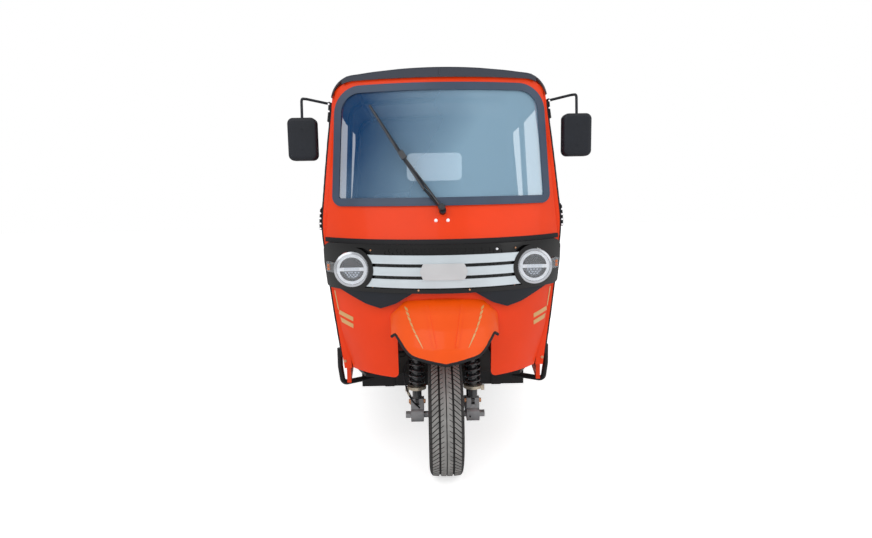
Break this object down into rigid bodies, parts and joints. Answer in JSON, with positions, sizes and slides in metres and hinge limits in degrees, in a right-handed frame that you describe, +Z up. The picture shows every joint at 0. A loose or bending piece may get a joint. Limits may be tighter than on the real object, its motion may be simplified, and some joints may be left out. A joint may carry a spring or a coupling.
{
  "type": "auto rickshaw",
  "caption": "Orange passenger auto rickshaw with a bowed front cowl, round lamps in a black grille, a steered front wheel, a black soft top and a rear engine hatch.",
  "frame": {"origin": "centre of the footprint, on the ground", "axes": "-Y towards the front, +X to the right of someone who looks at the front, +Z up"},
  "size_m": [1.3, 2.7327, 1.6963],
  "materials": {
    "body_paint": "gloss",
    "nose_paint": "gloss",
    "black_gloss": "gloss",
    "black_plastic": "matte",
    "black_rubber": "matte",
    "seal_rubber": "matte",
    "black_metal": "satin",
    "bar_silver": "satin",
    "cast_alloy": "as cast",
    "glass": "clear",
    "lens": "clear",
    "lamp_bowl": "polished",
    "red_lens": "gloss",
    "canopy_cloth": "coated",
    "seat_vinyl": "grained",
    "clear_sheet": "clear",
    "tyre": "matte",
    "wheel_paint": "satin",
    "engine_metal": "as cast",
    "exhaust_metal": "heat stained"
  },
  "bodies": {
    "chassis": {"badge_plate": "bar_silver", "bench_backrest": "seat_vinyl", "bench_cushion": "seat_vinyl", "body_trim": "black_rubber", "canopy": "canopy_cloth", "chassis_frame": "black_metal", "cowl_lower": "body_paint", "cowl_upper": "body_paint", "dashboard": "black_plastic", "drive_shafts": "black_metal", "driver_backrest": "seat_vinyl", "driver_cushion": "seat_vinyl", "driver_seat_base": "black_metal", "engine_block": "engine_metal", "exhaust": "exhaust_metal", "floor_pan": "black_metal", "front_hoop": "body_paint", "grille_bars": "bar_silver", "grille_mesh": "black_plastic", "grille_panel": "black_gloss", "grille_skirts": "black_plastic", "headlamp_left": "lamp_bowl", "headlamp_right": "lamp_bowl", "lamp_lenses": "lens", "mirror_left": "black_plastic", "mirror_right": "black_plastic", "nose_mudguard": "nose_paint", "pillar_plates": "black_metal", "quarter_panel_left": "body_paint", "quarter_panel_right": "body_paint", "rear_bumper": "black_metal", "rear_hinges": "black_metal", "rear_panel": "body_paint", "rear_shocks": "black_metal", "rear_window": "clear_sheet", "seat_deck": "black_metal", "side_guards": "black_metal", "side_sills": "body_paint", "tail_lamps": "red_lens", "top_frame": "black_metal", "trailing_arms": "black_metal", "turn_signals": "lens", "visor": "canopy_cloth", "wheel_housing": "body_paint", "windscreen_glass": "glass", "windscreen_seal": "seal_rubber", "wiper": "black_plastic"},
    "steering": {"handlebar": "black_metal", "front_fork": "black_metal", "knuckle_arms": "cast_alloy", "front_shocks": "black_metal"},
    "front_wheel": {"front_tyre": "tyre", "front_rim": "wheel_paint"},
    "rear_wheel_right": {"rear_tyre_right": "tyre", "rear_rim_right": "wheel_paint"},
    "rear_wheel_left": {"rear_tyre_left": "tyre", "rear_rim_left": "wheel_paint"},
    "rear_hatch": {"rear_door": "body_paint"}
  },
  "joints": [
    {"name": "steering_turn", "type": "hinge", "parent": "chassis", "child": "steering", "pos_m": [0, -0.90311, 0.622], "axis": [0, 0.342, 0.9397], "range_deg": [-38, 38]},
    {"name": "front_wheel_spin", "type": "hinge", "parent": "steering", "child": "front_wheel", "pos_m": [0, -1.0645, 0.247], "axis": [1, 0, 0], "continuous": true},
    {"name": "rear_wheel_right_spin", "type": "hinge", "parent": "chassis", "child": "rear_wheel_right", "pos_m": [0.575, 0.9355, 0.247], "axis": [1, 0, 0], "continuous": true},
    {"name": "rear_wheel_left_spin", "type": "hinge", "parent": "chassis", "child": "rear_wheel_left", "pos_m": [-0.575, 0.9355, 0.247], "axis": [1, 0, 0], "continuous": true},
    {"name": "rear_hatch_lift", "type": "hinge", "parent": "chassis", "child": "rear_hatch", "pos_m": [0, 1.3385, 0.866], "axis": [1, 0, 0], "range_deg": [0, 85]}
  ]
}
